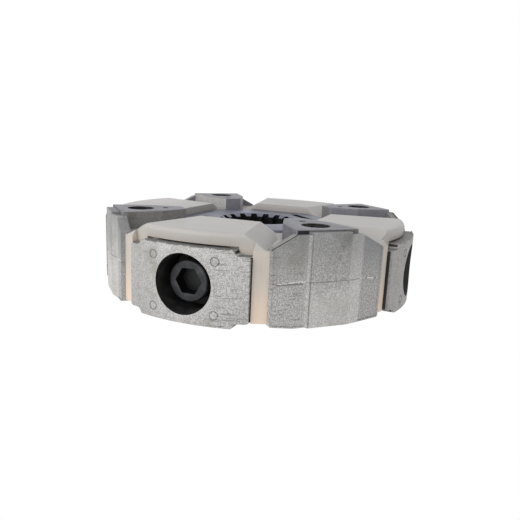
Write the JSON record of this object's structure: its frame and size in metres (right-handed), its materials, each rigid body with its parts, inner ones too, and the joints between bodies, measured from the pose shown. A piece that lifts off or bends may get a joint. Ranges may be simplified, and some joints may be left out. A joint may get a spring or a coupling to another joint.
{
  "type": "hydraulic pump coupling",
  "caption": "Round flexible flange coupling: a splined steel hub carries bolted cast radial blocks, and a cream elastomer ring joins them to cast axial bolting blocks.",
  "frame": {"origin": "centre of the underside of the coupling, on the shaft axis", "axes": "+Z along the shaft axis towards the face that bolts to the flywheel; -Y through the middle of the first radial block"},
  "size_m": [0.212, 0.212, 0.053],
  "materials": {
    "hub_steel": "machined, dull",
    "elastomer": "smooth moulded, slightly glossy",
    "cast_aluminium": "grit-blasted die casting",
    "black_oxide": "black oxide, dull"
  },
  "bodies": {
    "root": {"hub": "hub_steel", "elastomer_ring": "elastomer", "radial_screws": "black_oxide", "radial_block_1": "cast_aluminium", "radial_block_2": "cast_aluminium", "radial_block_3": "cast_aluminium", "radial_block_4": "cast_aluminium", "axial_block_1": "cast_aluminium", "axial_block_2": "cast_aluminium", "axial_block_3": "cast_aluminium", "axial_block_4": "cast_aluminium"}
  },
  "joints": []
}
